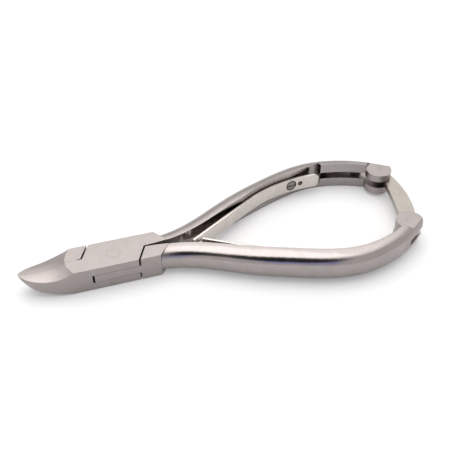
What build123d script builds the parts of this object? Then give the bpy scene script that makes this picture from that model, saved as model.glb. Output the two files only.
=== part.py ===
"""Heavy toenail nipper: box joint, two interlocking leaf springs and a lock bar across the tails.

Frame: millimetres. The origin is on the joint pin's axis, on the plane the tool lies on.
+X runs towards the tails, +Y towards the far handle, +Z up along the joint pin.
"""
from build123d import *
from math import atan2, cos, degrees, hypot, radians, sin
import os

# ---- jaws ----
jaw_length = 18.8          # tip to the start of the parallel block
jaw_tip_reach = 31.4       # tip to the joint pin's axis
jaw_tip_height = 7.9       # height of the point above the resting plane
hollow_radius = 22.3       # wheel that hollow-grinds the top of the jaws
hollow_centre_x = -25.3    # wheel's centre along the tool
hollow_centre_z = 29.4     # wheel's centre above the resting plane
hollow_crown = 19.0        # radius that makes the ground surface fall away to each side
bevel_top = 5.8            # inner bevels start this high
bevel_half_width = 1.4     # and open to this at the resting plane
jaw_gap = 0.03             # between the closed jaws
tip_blunt = 0.3            # height of the small flat at the very point
keel_drop = 4.3            # how far the keel falls in its first steep run
keel_bend_x = 4.0          # end of that run, from the tip
keel_slow_x = 9.0          # where the keel is nearly level, from the tip
keel_slow_z = 1.15
keel_end_share = 0.95      # of the jaws' length, where the keel meets the resting plane
hull_lift = 0.4            # the hull is turned about a line this far under the point
hull_corner_margin = 0.2
hull_tip_share = 0.09      # of the hull's full radius, at the point
relief_length = 1.7        # short saw cut along the closing line, ahead of the front shoulder
relief_width = 0.3

# ---- box joint ----
block_half_width = 6.1
block_height = 9.1
block_rear = 14.8          # outer rear corners, behind the pin
block_shoulder = 3.8       # how much further back the top runs at the crotch
tongue_thickness = 3.0
layer_clearance = 0.08     # above and below the tongue
shoulder_reach = 9.3       # pin axis to the plates' slanted ends
shoulder_angle = 25.8      # slant of those ends
shoulder_gap = 0.6
tongue_radius = 9.7        # hidden round shoulders of the tongue
pin_radius = 2.4
pin_clearance = 0.04
press_room = 0.01          # round pins and screws that are pressed or screwed in

# ---- handles ----
handle_reach = 106.0       # joint pin to the catch pin in the far tail
hinge_reach = 102.2        # joint pin to the hinge pin in the near tail
handle_half_span = 29.5    # centre line to the widest point of a handle
handle_depth = 10.5        # of the bows, which lie on the resting plane
neck_depth = 8.6           # where the handles leave the block
shank_thickness = 4.3      # at the neck and at the tail
bow_thickness = 6.1        # where the hand grips
section_power = 2.6        # how square the outer half of the section is: 2 is an ellipse
crotch_gap = 0.25          # half the slit between the handles behind the block
neck_overlap = 0.3         # the head runs this far into the handle
curve_start_share = 0.105  # of the reach, where a handle's inner curve starts
rise_start_share = 0.12    # of the reach, where the handle starts to deepen
rise_length_share = 0.45
thickening_power = 0.8     # how quickly a handle thickens from its ends

# ---- tail forks, lock bar and its pins ----
lock_half_span = 15.3      # centre line to each of the lock's pins
tail_angle = 33.0          # how steeply the tails turn in
ear_radius = 4.8           # round the pins, and the tails' rounded ends
ear_depth = 8.5            # between the flats milled on a tail
ear_overlap = 0.5          # the ear runs this far into the bow
tail_overrun = 0.4         # the bow is drawn this far past its rounded end
fork_slot = 2.8
fork_radius = 13.3         # cutter that forks the tail
fork_ahead = 4.0           # its centre, in front of the pin
fork_inside = 6.0          # and inside it
groove_radius = 8.0        # smaller cutter that runs the slot out along the inner face
groove_ahead = 15.0
groove_out = 2.3
hinge_radius = 1.3
catch_radius = 1.1
bar_thickness = 2.2
bar_width = 6.4
bar_bulge = 2.9            # how far the bar bows out past its pins
bar_eye_radius = 3.7
bar_eye_inset = 1.2        # the bar's inner edge starts this far inside its width
bar_nose_width = 3.8
bar_nose_length = 3.2      # past the catch pin
bar_edge_chamfer = 0.2
latch_angle = 2.5          # last turn of the bar that takes its notch over the catch pin
catch_clearance = 0.15
running_clearance = 0.04

# ---- leaf springs ----
leaf_width = 5.7
leaf_thickness = 0.9
leaf_tip_x = 27.4
leaf_tip_y = -1.0
leaf_angle = 31.3
leaf_straight = 29.0       # straight run from the tip
leaf_radius = 52.0         # then the bend that follows the handle
leaf_length = 62.0
leaf_end_radius = 2.0
window_start = 0.9         # from the tip
window_length = 2.9
window_height = 2.9
tongue_leaf_height = 2.3
tongue_leaf_length = 3.9
screw_station = 50.4       # along the leaf from its tip
screw_head_radius = 1.9
screw_head_clearance = 0.25
screw_head_height = 1.0
screw_shank_radius = 1.2
screw_shank_length = 2.6
screw_slot = 0.5
screw_slot_cutter = 0.8    # twice the slot's depth
screw_head_chamfer = 0.2
locating_hole_radius = 0.95
locating_hole_offset = 3.9
pocket_height = 6.5
seat_clearance = 0.3       # leaf to the floor of its pocket, up to the screw
tail_travel = 3.1          # room behind the leaf's tail end
pocket_tail_gap = 0.6      # past the leaf's end, where the pocket is deepest
pocket_end_gap = 2.0       # past the leaf's end, where the pocket comes out

SPARE = 1.0                # how far a cutter passes the faces it cuts
LONG = 60.0                # larger than any detail, for cutting bodies


def slab(face, low, high):
    """A plan outline, made solid between two heights."""
    return Pos(0, 0, low) * extrude(face, high - low)


def outline(points):
    return make_face(Polyline(*points, close=True))


def half_turn(shape):
    """The other handle's version of a piece: turned over about the tool's length at mid depth."""
    return Pos(0, 0, handle_depth / 2) * Rot(180, 0, 0) * Pos(0, 0, -handle_depth / 2) * shape


# ---- handle curves ----
def tail_frame():
    """Directions along the far tail and out of it."""
    a = radians(tail_angle)
    return Vector(cos(a), -sin(a)), Vector(sin(a), cos(a))


def inner_curve(reach):
    """A handle's flat inner face in plan, from inside the block to past the lock's pin."""
    along, _ = tail_frame()
    span = handle_half_span - bow_thickness
    shares = [(0.269, 0.149), (0.428, 0.494), (0.596, 0.806), (0.755, 0.992), (0.854, 0.949), (0.955, 0.775)]
    points = [(x * reach, y * span) for x, y in shares]
    pin_place = Vector(reach, lock_half_span)
    end = pin_place + along * (ear_radius + tail_overrun)
    start = (curve_start_share * reach, crotch_gap)
    return Spline(start, *points, pin_place, end, tangents=[(1.0, 0.05), along])


INNER = inner_curve(handle_reach)
NEAR_INNER = inner_curve(hinge_reach)


def inner_y(curve, x):
    """Height of an inner line above the centre line at a place along the tool."""
    low, high = 0.0, 0.8
    for _ in range(40):
        middle = (low + high) / 2
        if (curve @ middle).X < x:
            low = middle
        else:
            high = middle
    return (curve @ low).Y


# ---- leaf spring curve ----
def leaf_point(s, off=0.0):
    """A point on the leaf's centre line, s from its tip, moved off towards the handle."""
    a = radians(leaf_angle)
    if s <= leaf_straight:
        x = leaf_tip_x + s * cos(a)
        y = leaf_tip_y + s * sin(a)
        turn = a
    else:
        turn = a - (s - leaf_straight) / leaf_radius
        x = leaf_tip_x + leaf_straight * cos(a) + leaf_radius * (sin(a) - sin(turn))
        y = leaf_tip_y + leaf_straight * sin(a) + leaf_radius * (cos(turn) - cos(a))
    return (x - off * sin(turn), y + off * cos(turn), degrees(turn))


SCREW_X, SCREW_Y, SCREW_TURN = leaf_point(screw_station)
LEAF_Z = handle_depth / 2


def leaf_axis():
    """Frame on the screw: Z points from the inside of the loop into the handle."""
    return Pos(SCREW_X, SCREW_Y, LEAF_Z) * Rot(0, 0, SCREW_TURN) * Rot(-90, 0, 0)


# ---- block and jaws ----
def jaw_side():
    """Half of the head in plan: pointed jaw, parallel block, slanted rear end."""
    start = jaw_length - jaw_tip_reach
    shares = [(0.0, 0.0), (0.223, 0.59), (0.505, 0.87), (1.0, 1.0)]
    points = [(-jaw_tip_reach + x * jaw_length, y * block_half_width) for x, y in shares]
    side = Spline(*points, tangents=[(0.55, 1.0), (1.0, 0.0)])
    rear = block_rear + block_shoulder
    corner = inner_y(INNER, rear) + neck_overlap
    rest = Polyline((start, block_half_width), (block_rear, block_half_width),
                    (rear, corner), (rear, 0), (-jaw_tip_reach, 0))
    return make_face([side, rest])


def head_blank():
    """Both halves of the head in one piece, with the hollow-ground top and the rising keel."""
    half = jaw_side()
    plan = half + mirror(half, Plane.XZ)
    blank = slab(plan, 0, block_height)
    flat = -jaw_tip_reach + keel_end_share * jaw_length
    point = jaw_tip_height - tip_blunt
    keel = Spline((-jaw_tip_reach, point), (-jaw_tip_reach + keel_bend_x, jaw_tip_height - keel_drop),
                  (-jaw_tip_reach + keel_slow_x, keel_slow_z), (flat, 0), tangents=[(0.6, -1.0), (1.0, 0.0)])
    above = Polyline((flat, 0), (LONG, 0), (LONG, LONG), (-LONG, LONG),
                     (-LONG, point), (-jaw_tip_reach, point))
    profile = Plane.XZ * make_face([keel, above])
    blank = blank & extrude(profile, LONG, both=True)
    return blank - hollow_wheel() & hull_round()


def hollow_wheel():
    """Grinding wheel across the tool; its rim is waisted, so the ground top falls away sideways."""
    half = LONG / 4
    rim = Spline((-half, hollow_radius + half ** 2 / (2 * hollow_crown)),
                 (-half / 2, hollow_radius + half ** 2 / (8 * hollow_crown)), (0, hollow_radius),
                 (half / 2, hollow_radius + half ** 2 / (8 * hollow_crown)),
                 (half, hollow_radius + half ** 2 / (2 * hollow_crown)))
    rest = Polyline((half, hollow_radius + half ** 2 / (2 * hollow_crown)), (half, 0), (-half, 0),
                    (-half, hollow_radius + half ** 2 / (2 * hollow_crown)))
    wheel = revolve(make_face([rim, rest]), Axis.X)
    return Pos(hollow_centre_x, 0, hollow_centre_z) * Rot(0, 0, 90) * wheel


def hull_round():
    """Rounds the jaws' lower corners: a body turned about a line along the tool."""
    rear = -jaw_tip_reach + jaw_length
    corner = hypot(block_half_width, jaw_tip_height) + hull_corner_margin
    shares = [(0.0, hull_tip_share), (0.10, 0.29), (0.22, 0.53), (0.47, 0.77), (1.0, 1.0)]
    rim = Spline(*[(-jaw_tip_reach + x * jaw_length, y * corner) for x, y in shares])
    rest = Polyline((rear, corner), (LONG, corner), (LONG, 0), (-jaw_tip_reach - tip_blunt, 0),
                    (-jaw_tip_reach, hull_tip_share * corner))
    return Pos(0, 0, jaw_tip_height - hull_lift) * revolve(make_face([rim, rest]), Axis.X)


def inner_bevels():
    """The hollow under the cutting edges, where the jaws' inner bevels leave each other."""
    rear = -jaw_tip_reach + jaw_length
    wedge = Plane.YZ * outline([(0, bevel_top), (bevel_half_width, 0), (bevel_half_width, -1),
                                (-bevel_half_width, -1), (-bevel_half_width, 0)])
    return Pos(-jaw_tip_reach - 1, 0, 0) * extrude(wedge, jaw_length)


def beyond_shoulder(reach, gap):
    """Plan region ahead of the slanted shoulder, on the far side. Half a turn takes it behind, near side."""
    ahead = Rot(0, 0, -shoulder_angle) * Pos(-reach - LONG / 2, 0) * Rectangle(LONG, 2 * LONG)
    return ahead & (Pos(0, gap + LONG) * Rectangle(4 * LONG, 2 * LONG))


def head_parts():
    """Splits the head blank into the box half and the tongue half."""
    blank = head_blank() - inner_bevels() - crotch()
    tongue_low = (block_height - tongue_thickness) / 2
    tongue_high = tongue_low + tongue_thickness
    below = tongue_low - layer_clearance
    above = tongue_high + layer_clearance

    behind_turn = Rot(0, 0, 180)
    tongue_plan = beyond_shoulder(shoulder_reach + shoulder_gap, jaw_gap / 2)
    tongue_plan += behind_turn * beyond_shoulder(shoulder_reach + shoulder_gap, crotch_gap)
    box_cut = beyond_shoulder(shoulder_reach, -jaw_gap / 2)
    box_cut += behind_turn * beyond_shoulder(shoulder_reach, -crotch_gap)

    ahead = Pos(-LONG, LONG + jaw_gap / 2) * Rectangle(2 * LONG, 2 * LONG)
    behind = Pos(LONG, -LONG - crotch_gap) * Rectangle(2 * LONG, 2 * LONG)
    tongue_middle = Circle(tongue_radius) + ahead + behind
    wall = Circle(tongue_radius + shoulder_gap)
    near_quarter = Pos(-LONG, -LONG - jaw_gap / 2) * Rectangle(2 * LONG, 2 * LONG) - wall
    far_quarter = Pos(LONG, LONG + crotch_gap) * Rectangle(2 * LONG, 2 * LONG) - wall

    tongue = blank & slab(tongue_plan, -SPARE, block_height + SPARE)
    tongue += blank & slab(tongue_middle, tongue_low, tongue_high)
    plates = blank - slab(box_cut, -SPARE, block_height + SPARE)
    box = plates & slab(Rectangle(4 * LONG, 4 * LONG), -SPARE, below)
    box += plates & slab(Rectangle(4 * LONG, 4 * LONG), above, block_height + SPARE)
    box += blank & slab(near_quarter, -SPARE, block_height + SPARE)
    box += blank & slab(far_quarter, -SPARE, block_height + SPARE)
    return box, tongue


def crotch():
    """The slit that opens between the handles behind the block, and the short saw cut ahead of it."""
    rear = block_rear + block_shoulder + 1
    start = shoulder_reach / cos(radians(shoulder_angle))
    middle = (start + rear) / 2
    upper = [(x, max(crotch_gap, inner_y(INNER, x))) for x in (start, middle, rear)]
    lower = [(x, -max(crotch_gap, inner_y(NEAR_INNER, x))) for x in (rear, middle, start)]
    slit = slab(outline(upper + lower), -SPARE, block_height + SPARE)
    cutter = Box(relief_length, relief_width, 2 * relief_length)
    relief = Pos(-start - relief_length / 2, 0, block_height) * cutter
    return slit + relief


# ---- handles ----
def eased(t):
    """From 0 to 1 without a corner at either end."""
    t = max(0.0, min(1.0, t))
    return t * t * (3 - 2 * t)


def bar_section(curve, t, reach):
    """D-section across a handle: straight inside, well rounded outside."""
    point = curve @ t
    along = curve % t
    share = point.X / reach
    rise = eased((share - rise_start_share) / rise_length_share)
    middle = block_height / 2 + (handle_depth - block_height) / 2 * rise
    half = (neck_depth + (handle_depth - neck_depth) * rise) / 2
    fullness = sin(radians(180 * min(1.0, share))) ** thickening_power
    thickness = shank_thickness + (bow_thickness - shank_thickness) * fullness
    origin = (point.X, point.Y, middle)
    place = Plane(origin=origin, x_dir=(-along.Y, along.X, 0), z_dir=(along.X, along.Y, 0))
    upper = []
    for u in (0.0, 0.38, 0.66, 0.86, 0.97):
        upper.append((u * thickness, half * (1 - u ** section_power) ** (1 / section_power)))
    lower = [(x, -y) for x, y in reversed(upper)]
    crown = Spline(*upper, (thickness, 0), *lower)
    flat = Line(lower[-1], upper[0])
    return place * make_face([crown, flat])


def handle_bar(curve, reach):
    """Far handle's bow, lofted through its sections."""
    stations = [0.0, 0.07, 0.16, 0.27, 0.38, 0.49, 0.60, 0.70, 0.79, 0.87, 0.935, 1.0]
    return loft([bar_section(curve, t, reach) for t in stations])


def at_tail(reach, radius):
    """Plan circle round a tail's pin."""
    return Pos(reach, lock_half_span) * Circle(radius)


def tail_end(bar, reach):
    """Trims the tail round, mills its two flats and adds the ear on its inside."""
    turn = Rot(0, 0, -tail_angle)
    beyond = Pos(reach, lock_half_span) * turn * Pos(LONG / 2, 0) * Rectangle(LONG, LONG)
    bar -= slab(beyond - at_tail(reach, ear_radius), -LONG, LONG)
    low = (handle_depth - ear_depth) / 2
    high = low + ear_depth
    bar -= slab(at_tail(reach, ear_radius), -LONG, low) + slab(at_tail(reach, ear_radius), high, LONG)
    inside = Pos(reach, lock_half_span) * turn * Pos(0, ear_overlap - LONG / 2) * Rectangle(LONG, LONG)
    return bar + slab(at_tail(reach, ear_radius) & inside, low, high)


def fork_cut(reach):
    """Slot for the lock bar, left by two disc cutters: the fork, and its run-out along the inside."""
    low = (handle_depth - fork_slot) / 2
    fork = Pos(reach - fork_ahead, lock_half_span - fork_inside) * Circle(fork_radius)
    groove = Pos(reach - groove_ahead, lock_half_span + groove_out) * Circle(groove_radius)
    return slab(fork + groove, low, low + fork_slot)


def leaf_pocket():
    """Milled seat for the leaf, open on one side, that deepens behind the screw for the leaf's tail."""
    back = leaf_thickness / 2
    seat = back + seat_clearance
    first = leaf_point(leaf_straight / 2, seat)[:2]
    bend = leaf_point(leaf_straight, seat)[:2]
    middle = leaf_point((leaf_straight + screw_station) / 2, seat)[:2]
    screw = leaf_point(screw_station, seat)[:2]
    tail = leaf_point(leaf_length + pocket_tail_gap, back + tail_travel)[:2]
    end = leaf_point(leaf_length + pocket_end_gap)[:2]
    floor = [Line(first, bend), ThreePointArc(bend, middle, screw)]
    open_side = Polyline(screw, tail, end, (end[0], first[1]), first)
    low = (handle_depth - pocket_height) / 2
    return slab(make_face(floor + [open_side]), low, handle_depth + SPARE)


def handle(bar, pin_bore, reach):
    """Machines a handle: its round tail, fork, pin bore, leaf pocket and screw bore."""
    bar = tail_end(bar, reach)
    bar -= fork_cut(reach)
    bar -= leaf_pocket()
    bar -= Pos(reach, lock_half_span) * Cylinder(pin_bore, LONG)
    bore = Cylinder(screw_shank_radius + press_room, 2 * screw_shank_length + 2 * leaf_thickness)
    return bar - leaf_axis() * bore


def forgings():
    """The two forgings, each a handle, its part of the box joint and the opposite jaw."""
    box_head, tongue_head = head_parts()
    inside = Pos(0, 0, block_height / 2) * Cylinder(tongue_radius + shoulder_gap, LONG)
    far = handle(handle_bar(INNER, handle_reach), catch_radius + press_room, handle_reach) - inside
    near_bar = Pos(0, 0, handle_depth) * mirror(handle_bar(NEAR_INNER, hinge_reach), Plane.XY)
    near = half_turn(handle(near_bar, hinge_radius + press_room, hinge_reach)) - inside
    whole_length = 2 * (max(handle_reach, hinge_reach) + LONG)
    far_side = Pos(0, crotch_gap + LONG, 0) * Box(whole_length, 2 * LONG, LONG)
    near_side = Pos(0, -crotch_gap - LONG, 0) * Box(whole_length, 2 * LONG, LONG)
    box = box_head + (far & far_side)
    tongue = tongue_head + (near & near_side)
    box -= Cylinder(pin_radius + press_room, LONG)
    tongue -= Cylinder(pin_radius + pin_clearance, LONG)
    return box, tongue


# ---- leaf springs ----
def leaf_strip():
    """The leaf's plain strip: straight from the tip, then bent to lie along the handle."""
    half = leaf_thickness / 2
    s_bend = (leaf_straight + leaf_length) / 2
    rows = []
    for off in (-half, half):
        straight = Line(leaf_point(0, off)[:2], leaf_point(leaf_straight, off)[:2])
        bend = ThreePointArc(leaf_point(leaf_straight, off)[:2], leaf_point(s_bend, off)[:2],
                             leaf_point(leaf_length, off)[:2])
        rows += [straight, bend]
    tip = Line(leaf_point(0, -half)[:2], leaf_point(0, half)[:2])
    end = Line(leaf_point(leaf_length, -half)[:2], leaf_point(leaf_length, half)[:2])
    strip = slab(make_face(rows + [tip, end]), LEAF_Z - leaf_width / 2, LEAF_Z + leaf_width / 2)
    tail = leaf_point(leaf_length)
    corners = strip.edges().filter_by(lambda e: abs((e @ 0.5).X - tail[0]) < 0.6 and e.length < 1.2)
    return fillet(corners, leaf_end_radius)


def across_leaf(s):
    """Frame on the leaf, s from its tip: X along the leaf, Y along its width, Z through it."""
    x, y, turn = leaf_point(s)
    return Pos(x, y, LEAF_Z) * Rot(0, 0, turn) * Rot(-90, 0, 0)


def screw_openings():
    opening = across_leaf(screw_station) * Cylinder(screw_head_radius + screw_head_clearance, 4)
    hole = across_leaf(screw_station + locating_hole_offset) * Cylinder(locating_hole_radius, 4)
    return opening + hole


def window_leaf():
    strip = leaf_strip() - screw_openings()
    window = Box(window_length, window_height, 3)
    return strip - across_leaf(window_start + window_length / 2) * window


def tongue_leaf():
    strip = leaf_strip() - screw_openings()
    spare = (leaf_width - tongue_leaf_height) / 2
    for side in (-1, 1):
        corner = Box(2 * tongue_leaf_length, spare, 3)
        strip -= across_leaf(0) * Pos(0, side * (leaf_width - spare) / 2, 0) * corner
    return half_turn(strip)


def leaf_screw():
    """Slotted screw: its head fills the leaf's opening, its shank is set in the handle."""
    sink = leaf_thickness / 2
    head = Pos(0, 0, sink - screw_head_height / 2) * Cylinder(screw_head_radius, screw_head_height)
    shank = Pos(0, 0, sink + screw_shank_length / 2) * Cylinder(screw_shank_radius, screw_shank_length)
    slot = Pos(0, 0, sink - screw_head_height) * Box(3 * screw_head_radius, screw_slot, screw_slot_cutter)
    head = chamfer(head.edges().sort_by(Axis.Z)[0], screw_head_chamfer)
    return leaf_axis() * (head + shank - slot)


# ---- lock ----
def lock_bar():
    """Curved bar: round eye on the hinge pin, tapered nose with a notch beside the catch pin."""
    across = Vector(handle_reach - hinge_reach, 2 * lock_half_span)
    reach = across.length
    lean = degrees(atan2(across.X, across.Y))
    half = bar_width / 2
    root = half - bar_eye_inset
    inner = ThreePointArc((-root, 0), (bar_bulge - half, reach / 2), (0, reach))
    outer = ThreePointArc((half, 0), (bar_bulge + half, reach / 2), (bar_nose_width, reach))
    nose = ThreePointArc((0, reach), (bar_nose_width / 2, reach + bar_nose_length), (bar_nose_width, reach))
    base = Line((-root, 0), (half, 0))
    plan = make_face([inner, nose, outer, base]) + Circle(bar_eye_radius)
    plan -= Pos(0, reach) * Circle(catch_radius + catch_clearance)
    plan -= Circle(hinge_radius + running_clearance)
    low = (handle_depth - bar_thickness) / 2
    bar = slab(plan, low, low + bar_thickness)
    rims = bar.edges().filter_by(lambda e: e.length > reach / 2)
    place = Pos(hinge_reach, -lock_half_span) * Rot(0, 0, -lean - latch_angle)
    return place * chamfer(rims, bar_edge_chamfer)


def pin(radius, length, x, y, middle):
    return Pos(x, y, middle) * Cylinder(radius, length)


def main():
    os.makedirs("parts", exist_ok=True)
    box, tongue = forgings()
    screw = leaf_screw()
    nodes = {
        "box_handle": box,
        "tongue_handle": tongue,
        "joint_pin": pin(pin_radius, block_height, 0, 0, block_height / 2),
        "window_spring": window_leaf(),
        "tongue_spring": tongue_leaf(),
        "window_spring_screw": screw,
        "tongue_spring_screw": half_turn(screw),
        "lock_bar": lock_bar(),
        "lock_hinge_pin": pin(hinge_radius, ear_depth, hinge_reach, -lock_half_span, handle_depth / 2),
        "lock_catch_pin": pin(catch_radius, ear_depth, handle_reach, lock_half_span, handle_depth / 2),
    }
    for name, shape in nodes.items():
        solids = shape.solids()
        print(name, len(solids), "solids, volume", round(sum(s.volume for s in solids), 2))
        export_step(Compound(children=list(solids)) if len(solids) > 1 else solids[0], f"parts/{name}.step")


main()
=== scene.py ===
import bpy
import bmesh
from math import cos, radians, sin
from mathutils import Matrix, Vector


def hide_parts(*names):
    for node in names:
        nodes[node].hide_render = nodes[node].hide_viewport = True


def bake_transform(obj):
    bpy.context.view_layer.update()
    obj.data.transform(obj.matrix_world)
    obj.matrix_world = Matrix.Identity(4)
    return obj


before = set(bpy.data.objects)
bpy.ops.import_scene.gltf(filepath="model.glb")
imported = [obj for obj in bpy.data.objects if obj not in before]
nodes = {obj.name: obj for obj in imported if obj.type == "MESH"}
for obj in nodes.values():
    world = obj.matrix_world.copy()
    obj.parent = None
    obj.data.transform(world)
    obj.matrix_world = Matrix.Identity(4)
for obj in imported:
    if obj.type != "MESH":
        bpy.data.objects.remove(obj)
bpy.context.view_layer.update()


# ---- the two forged halves ----
# Jaw, box joint and handle of each half are one drop forging of stainless surgical steel. Jaws and joint are
# bead-blasted to a satin grey. The handles are polished along their length on a felt wheel, so fine lines run
# down them, and their edges are painted a little brighter, partly as wear from handling and partly as a
# painted highlight.
MM = 0.001


def node(tree, kind, **sockets):
    """Adds a shader node and sets its plain sockets."""
    made = tree.nodes.new(kind)
    for socket, value in sockets.items():
        made.inputs[socket].default_value = value
    return made


def fade(tree, factor, start, end):
    """Mixes two colours. Each is a plain colour or another node's output."""
    made = tree.nodes.new("ShaderNodeMix")
    made.data_type = "RGBA"
    for socket, colour in (("A", start), ("B", end)):
        if isinstance(colour, tuple):
            made.inputs[socket].default_value = (*colour, 1)
        else:
            tree.links.new(colour, made.inputs[socket])
    tree.links.new(factor, made.inputs["Factor"])
    return made.outputs["Result"]


def added(tree, first, second):
    """The sum of what two sockets give."""
    made = tree.nodes.new("ShaderNodeMath")
    tree.links.new(first, made.inputs[0])
    tree.links.new(second, made.inputs[1])
    return made.outputs[0]


def bumped(tree, height, normal, depth):
    """The surface normal, roughened by what a socket gives to the given depth."""
    made = node(tree, "ShaderNodeBump", Distance=depth)
    tree.links.new(height, made.inputs["Height"])
    tree.links.new(normal, made.inputs["Normal"])
    return made.outputs["Normal"]


def spread(tree, source, low, high, to_low, to_high, smooth=False):
    """Maps what a socket gives from low..high to to_low..to_high."""
    made = tree.nodes.new("ShaderNodeMapRange")
    if smooth:
        made.interpolation_type = "SMOOTHSTEP"
    for socket, value in enumerate((low, high, to_low, to_high), 1):
        made.inputs[socket].default_value = value
    tree.links.new(source, made.inputs[0])
    return made.outputs[0]


def sharp_edges(tree, radius):
    """0 on open surfaces and 1 on sharp outer and inner edges, with the softened normal to go with it."""
    soft = node(tree, "ShaderNodeBevel", Radius=radius)
    soft.samples = 6
    facing = tree.nodes.new("ShaderNodeVectorMath")
    facing.operation = "DOT_PRODUCT"
    geometry = tree.nodes.new("ShaderNodeNewGeometry")
    tree.links.new(soft.outputs["Normal"], facing.inputs[0])
    tree.links.new(geometry.outputs["Normal"], facing.inputs[1])
    full_edge_turn = 0.82
    return soft.outputs["Normal"], spread(tree, facing.outputs["Value"], 1.0, full_edge_turn, 0.0, 1.0)


def steel(name, dull, clean, edge_colour, rough, grain, grain_depth, lines, line_depth, edge):
    """Finished steel: cloudy tint, blasted grain, polishing lines, edges painted lighter (part wear, part
    painted highlight) and painted shade darkening the gaps and hollows.
    """
    made = bpy.data.materials.new(name)
    made.use_nodes = True
    tree = made.node_tree
    shader = tree.nodes["Principled BSDF"]
    shader.inputs["Metallic"].default_value = 1.0
    place = tree.nodes.new("ShaderNodeTexCoord").outputs["Object"]

    cloud_scale = 260.0
    cloud = node(tree, "ShaderNodeTexNoise", Scale=cloud_scale, Detail=4.0, Roughness=0.6)
    tree.links.new(place, cloud.inputs["Vector"])
    speck = node(tree, "ShaderNodeTexNoise", Scale=1.0 / grain, Detail=2.0, Roughness=0.55)
    tree.links.new(place, speck.inputs["Vector"])
    drawn = node(tree, "ShaderNodeMapping", Scale=lines)
    tree.links.new(place, drawn.inputs["Vector"])
    line = node(tree, "ShaderNodeTexNoise", Scale=1.0, Detail=3.0, Roughness=0.6)
    tree.links.new(drawn.outputs["Vector"], line.inputs["Vector"])

    soft_normal, edges = sharp_edges(tree, edge)
    cloud_band = (0.35, 0.65)
    tint = fade(tree, spread(tree, cloud.outputs["Fac"], *cloud_band, 0.0, 1.0), dull, clean)
    # Edges take edge_colour: on most pieces a lighter tone, partly wear and partly a painted highlight along
    # the edge.
    edge_coloured = fade(tree, edges, tint, edge_colour)
    # Painted shade: where ambient occlusion finds a gap, recess or inner corner within this reach, the colour
    # is darkened nearly to black.
    shade_reach = 1.2 * MM
    shade_band = (0.2, 0.62)
    shade_cover = 0.97
    painted_shade_colour = (0.012, 0.010, 0.010)
    hollow = node(tree, "ShaderNodeAmbientOcclusion", Distance=shade_reach)
    hollow.samples = 8
    painted_shade = fade(tree, spread(tree, hollow.outputs["AO"], *shade_band, shade_cover, 0.0), edge_coloured, painted_shade_colour)
    tree.links.new(painted_shade, shader.inputs["Base Color"])

    noise_band = (0.3, 0.7)
    patchiness = 0.03
    streak = spread(tree, line.outputs["Fac"], *noise_band, *rough)
    patch = spread(tree, cloud.outputs["Fac"], *noise_band, -patchiness, patchiness)
    tree.links.new(added(tree, streak, patch), shader.inputs["Roughness"])

    blasted = bumped(tree, speck.outputs["Fac"], soft_normal, grain_depth)
    polished = bumped(tree, line.outputs["Fac"], blasted, line_depth)
    tree.links.new(polished, shader.inputs["Normal"])
    return made


def dress(name, finish):
    """Gives a CAD node its finish."""
    piece = nodes[name]
    piece.data.materials.clear()
    piece.data.materials.append(finish)
    return piece


forged = steel("forged_steel", dull=(0.325, 0.293, 0.284), clean=(0.355, 0.320, 0.310),
               edge_colour=(0.44, 0.405, 0.39), rough=(0.11, 0.17), grain=0.00011, grain_depth=0.0000022,
               lines=(180.0, 7000.0, 7000.0), line_depth=0.0000015, edge=0.0002)
satin_extra = 0.23
satin_end = 15.0 * MM
polish_start = 24.0 * MM
polish_end = 93.0 * MM
milled_start = 98.0 * MM
tree = forged.node_tree
shader = tree.nodes["Principled BSDF"]
along = tree.nodes.new("ShaderNodeSeparateXYZ")
tree.links.new(tree.nodes["Texture Coordinate"].outputs["Object"], along.inputs[0])
blasting = spread(tree, along.outputs["X"], satin_end, polish_start, satin_extra, 0.0, smooth=True)
milling = spread(tree, along.outputs["X"], polish_end, milled_start, 0.0, satin_extra, smooth=True)
for extra in (blasting, milling):
    total = added(tree, shader.inputs["Roughness"].links[0].from_socket, extra)
    tree.links.new(total, shader.inputs["Roughness"])
dress("box_handle", forged)
dress("tongue_handle", forged)


# ---- joint pin ----
# A plain hardened steel pin pressed through the box joint. Its ends are ground flush with the block in the
# same pass, so only a hair line shows round it.
pin_finish = steel("ground_pin", dull=(0.325, 0.293, 0.284), clean=(0.355, 0.320, 0.310),
                   edge_colour=(0.32, 0.29, 0.28), rough=(0.36, 0.44), grain=0.00011, grain_depth=0.0000035,
                   lines=(180.0, 7000.0, 7000.0), line_depth=0.000002, edge=0.00005)
dress("joint_pin", pin_finish)


# ---- the two leaf springs ----
# Hardened spring-steel strip. One leaf has a square window in its tip, the other a narrow tongue that runs
# through it. Each lies in a milled seat in its handle, held by one screw, and bends from there to the tip.
leaf_width = 5.7 * MM
leaf_thickness = 0.9 * MM
leaf_tip = (27.4 * MM, -1.0 * MM)
leaf_angle = radians(31.3)
leaf_straight = 29.0 * MM
leaf_radius = 52.0 * MM
leaf_length = 62.0 * MM
leaf_corner = 2.0 * MM
leaf_edge = 0.1 * MM
leaf_height = 5.25 * MM
window_start = 0.9 * MM
window_length = 2.9 * MM
window_height = 2.9 * MM
window_corner = 0.3 * MM
tongue_height = 2.3 * MM
tongue_length = 3.9 * MM
screw_station = 50.4 * MM
screw_opening = 2.15 * MM
locating_hole = 0.95 * MM
locating_station = 54.3 * MM
tip_corner = 0.4 * MM
tongue_corner = 0.5 * MM
tongue_root = 0.3 * MM
leaf_step = 1.0 * MM
leaf_weld = leaf_edge / 50
leaf_cut = leaf_edge / 100
sharp_turn = radians(28)


def arc(centre, radius, start, end, steps):
    """Points on an arc between two angles in degrees."""
    turns = [radians(start + (end - start) * i / steps) for i in range(steps + 1)]
    return [(centre[0] + radius * cos(a), centre[1] + radius * sin(a)) for a in turns]


def ring(station, radius, points):
    """A full circle on the leaf's middle line."""
    return arc((station, 0), radius, 0, 360 - 360 / points, points - 1)


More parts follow.
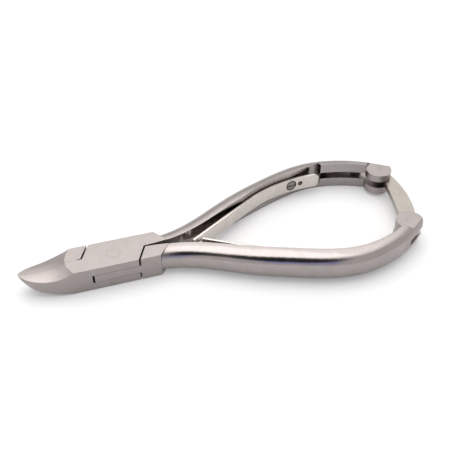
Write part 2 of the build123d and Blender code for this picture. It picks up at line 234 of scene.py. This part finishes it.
def rounded(left, right, low, high, radius):
    """A rectangle with rounded corners."""
    return (arc((right - radius, high - radius), radius, 90, 0, 6)
            + arc((right - radius, low + radius), radius, 0, -90, 6)
            + arc((left + radius, low + radius), radius, -90, -180, 6)
            + arc((left + radius, high - radius), radius, 180, 90, 6))


def leaf_point(s, off=0.0):
    """A point on the leaf's bent line, s from its tip, moved off towards the handle."""
    if s <= leaf_straight:
        turn = leaf_angle
        x = leaf_tip[0] + s * cos(turn)
        y = leaf_tip[1] + s * sin(turn)
    else:
        turn = leaf_angle - (s - leaf_straight) / leaf_radius
        x = leaf_tip[0] + leaf_straight * cos(leaf_angle) + leaf_radius * (sin(leaf_angle) - sin(turn))
        y = leaf_tip[1] + leaf_straight * sin(leaf_angle) + leaf_radius * (cos(turn) - cos(leaf_angle))
    return x - off * sin(turn), y + off * cos(turn)


def blanked(name, loops):
    """A flat strip with broken edges, blanked from its outline and the loops inside it."""
    curve = bpy.data.curves.new(name, "CURVE")
    curve.dimensions = "2D"
    curve.fill_mode = "BOTH"
    curve.extrude = leaf_thickness / 2 - leaf_edge
    curve.bevel_depth = leaf_edge
    curve.bevel_resolution = 2
    curve.offset = -leaf_edge
    for loop in loops:
        spline = curve.splines.new("POLY")
        spline.points.add(len(loop) - 1)
        for point, (x, y) in zip(spline.points, loop):
            point.co = (x, y, 0, 1)
        spline.use_cyclic_u = True
    drawn = bpy.data.objects.new(name + "_drawn", curve)
    bpy.context.scene.collection.objects.link(drawn)
    bpy.context.view_layer.update()
    mesh = bpy.data.meshes.new_from_object(drawn.evaluated_get(bpy.context.evaluated_depsgraph_get()))
    bpy.data.objects.remove(drawn)
    mesh.name = name
    return mesh


def bent_leaf(name, outline, holes, flip):
    """Blanks a leaf, cuts it across at every step and bends it; flip turns it over for the other handle."""
    mesh = blanked(name, [outline] + holes)
    work = bmesh.new()
    work.from_mesh(mesh)
    bmesh.ops.remove_doubles(work, verts=work.verts, dist=leaf_weld)
    for i in range(1, int(leaf_length / leaf_step)):
        everything = work.verts[:] + work.edges[:] + work.faces[:]
        bmesh.ops.bisect_plane(work, geom=everything, dist=leaf_cut, plane_co=(i * leaf_step, 0, 0),
                               plane_no=(1, 0, 0))
    for vert in work.verts:
        s, across, off = vert.co
        x, y = leaf_point(s, off)
        vert.co = (x, -y if flip else y, leaf_height + across * (1 if flip else -1))
    bmesh.ops.recalc_face_normals(work, faces=work.faces)
    work.to_mesh(mesh)
    work.free()
    mesh.shade_smooth()
    mesh.set_sharp_from_angle(angle=sharp_turn)
    piece = bpy.data.objects.new(name, mesh)
    bpy.context.scene.collection.objects.link(piece)
    return piece


half = leaf_width / 2
tail = arc((leaf_length - leaf_corner, -half + leaf_corner), leaf_corner, -90, 0, 12)
tail += arc((leaf_length - leaf_corner, half - leaf_corner), leaf_corner, 0, 90, 12)
tip_round = arc((tip_corner, half - tip_corner), tip_corner, 90, 180, 5)
tip_round += arc((tip_corner, -half + tip_corner), tip_corner, 180, 270, 5)
screw_hole = ring(screw_station, screw_opening, 48)
small_hole = ring(locating_station, locating_hole, 24)
window_half = window_height / 2
window = rounded(window_start, window_start + window_length, -window_half, window_half, window_corner)
tongue_half = tongue_height / 2
tongue_tip = [(tongue_length, half), (tongue_length, tongue_half + tongue_root)]
tongue_tip += [(tongue_length - tongue_root, tongue_half)]
tongue_tip += arc((tongue_corner, tongue_half - tongue_corner), tongue_corner, 90, 180, 5)
tongue_tip += arc((tongue_corner, -tongue_half + tongue_corner), tongue_corner, 180, 270, 5)
tongue_tip += [(tongue_length - tongue_root, -tongue_half)]
tongue_tip += [(tongue_length, -tongue_half - tongue_root), (tongue_length, -half)]

spring_finish = steel("spring_steel", dull=(0.56, 0.52, 0.475), clean=(0.62, 0.575, 0.54),
                      edge_colour=(0.70, 0.665, 0.63), rough=(0.24, 0.34), grain=0.00009, grain_depth=0.000002,
                      lines=(260.0, 260.0, 9000.0), line_depth=0.0000025, edge=0.00012)
for name, outline, holes, half_body, leaf_body, flip in (
        ("window_leaf_spring", tip_round + tail, [window, screw_hole, small_hole],
         "box_half", "window_leaf", False),
        ("tongue_leaf_spring", tongue_tip + tail, [screw_hole, small_hole],
         "tongue_half", "tongue_leaf", True)):
    leaf = bent_leaf(name, outline, holes, flip)
    leaf.data.materials.append(spring_finish)
    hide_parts("tongue_spring" if flip else "window_spring")
    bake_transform(leaf)


# ---- the two spring screws ----
# Small slotted screws turned from stainless bar. The head drops into the leaf's round opening with a gap
# round it, and painted shade darkens that gap and the slot.
screw_finish = steel("screw_steel", dull=(0.16, 0.14, 0.13), clean=(0.26, 0.235, 0.22),
                     edge_colour=(0.62, 0.59, 0.56), rough=(0.26, 0.38), grain=0.00007, grain_depth=0.000002,
                     lines=(5000.0, 5000.0, 5000.0), line_depth=0.0000015, edge=0.0001)
dress("window_spring_screw", screw_finish)
dress("tongue_spring_screw", screw_finish)


# ---- lock bar and its two pins ----
# The bar is blanked from plate, its two long edges broken on a wheel, and brushed flat. The pins are drawn
# wire, cut and ground flush with the tails' flats.
bar_finish = steel("lock_steel", dull=(0.35, 0.325, 0.29), clean=(0.40, 0.37, 0.335), edge_colour=(0.60, 0.57, 0.53),
                   rough=(0.28, 0.38), grain=0.0001, grain_depth=0.000002,
                   lines=(8000.0, 160.0, 8000.0), line_depth=0.000003, edge=0.00015)
dress("lock_bar", bar_finish)
wire_finish = steel("pin_steel", dull=(0.305, 0.275, 0.266), clean=(0.345, 0.312, 0.30),
                    edge_colour=(0.34, 0.31, 0.30), rough=(0.24, 0.34), grain=0.0001, grain_depth=0.000002,
                    lines=(5000.0, 5000.0, 300.0), line_depth=0.000002, edge=0.00005)
dress("lock_hinge_pin", wire_finish)
dress("lock_catch_pin", wire_finish)


# ---- the bench ----
# A plain pale light table that the tool's bows lie on. It is lit a little from below, so that the shadow
# stays soft.
floor_mesh = bpy.data.meshes.new("bench")
bench_half = 3.0
floor_level = -0.05 * MM
corners = [(-bench_half, -bench_half, floor_level), (bench_half, -bench_half, floor_level)]
corners += [(bench_half, bench_half, floor_level), (-bench_half, bench_half, floor_level)]
floor_mesh.from_pydata(corners, [], [(0, 1, 2, 3)])
bench = bpy.data.objects.new("bench", floor_mesh)
bpy.context.scene.collection.objects.link(bench)
paper = bpy.data.materials.new("bench_paper")
paper.use_nodes = True
paper_shader = paper.node_tree.nodes["Principled BSDF"]
paper_shader.inputs["Base Color"].default_value = (0.66, 0.66, 0.66, 1)
paper_shader.inputs["Roughness"].default_value = 0.9
paper_shader.inputs["Emission Color"].default_value = (1.0, 1.0, 1.0, 1)
paper_shader.inputs["Emission Strength"].default_value = 0.22
paper_shader.inputs["Specular IOR Level"].default_value = 0.1
floor_mesh.materials.append(paper)


# ---- light ----
# A white tent: bright overhead, softer at the sides, with the darker opening that the camera looks in through
# and a patch of bluish daylight under it. One large soft lamp overhead gives the faint shadow under the tool.
tent = bpy.data.worlds.new("tent")
bpy.context.scene.world = tent
tent.use_nodes = True
sky = tent.node_tree
looking = sky.nodes.new("ShaderNodeTexCoord").outputs["Generated"]


def towards(direction):
    """How nearly a direction in the tent points the given way: 1 straight at it, -1 straight away."""
    dot = sky.nodes.new("ShaderNodeVectorMath")
    dot.operation = "DOT_PRODUCT"
    dot.inputs[1].default_value = Vector(direction).normalized()
    sky.links.new(looking, dot.inputs[0])
    return dot.outputs["Value"]


overhead = spread(sky, towards((0.05, 0.32, 1.0)), 0.64, 0.99, 0.90, 2.5, smooth=True)
opening = spread(sky, towards((-0.23, -0.56, 0.84)), 0.86, 0.98, 1.0, 0.05, smooth=True)
strength = sky.nodes.new("ShaderNodeMath")
strength.operation = "MULTIPLY"
sky.links.new(overhead, strength.inputs[0])
sky.links.new(opening, strength.inputs[1])
sky.links.new(strength.outputs[0], sky.nodes["Background"].inputs["Strength"])
blue_patch = spread(sky, towards((-0.2, -0.86, 0.50)), 0.93, 0.98, 0.0, 1.0, smooth=True)
white = (1.0, 0.99, 0.98)
blue = (0.62, 0.64, 1.1)
sky.links.new(fade(sky, blue_patch, white, blue), sky.nodes["Background"].inputs["Color"])

look_at = Vector((41.5, 7.73, 4.0)) * MM
lamp_data = bpy.data.lights.new("soft_lamp", "AREA")
lamp_data.size = 0.5
lamp_data.energy = 0.45
lamp = bpy.data.objects.new("soft_lamp", lamp_data)
bpy.context.scene.collection.objects.link(lamp)
lamp.location = (0.02, 0.12, 0.62)
lamp.rotation_mode = "QUATERNION"
lamp.rotation_quaternion = (look_at - lamp.location).to_track_quat("-Z", "Y")


# ---- camera ----
# A standard lens on the near handle's side, above the tool and level with its joint. It looks down across the
# handles, and a little towards the tails.
camera_data = bpy.data.cameras.new("camera")
camera_data.lens = 53.9
camera_data.clip_start = 0.01
camera = bpy.data.objects.new("camera", camera_data)
bpy.context.scene.collection.objects.link(camera)
camera_way = Vector((0.2302, 0.7247, -0.6494)).normalized()
camera_distance = 242.5 * MM
camera.location = look_at - camera_way * camera_distance
camera.rotation_mode = "QUATERNION"
camera.rotation_quaternion = camera_way.to_track_quat("-Z", "Y")
bpy.context.scene.camera = camera
bpy.context.scene.view_settings.view_transform = "Standard"
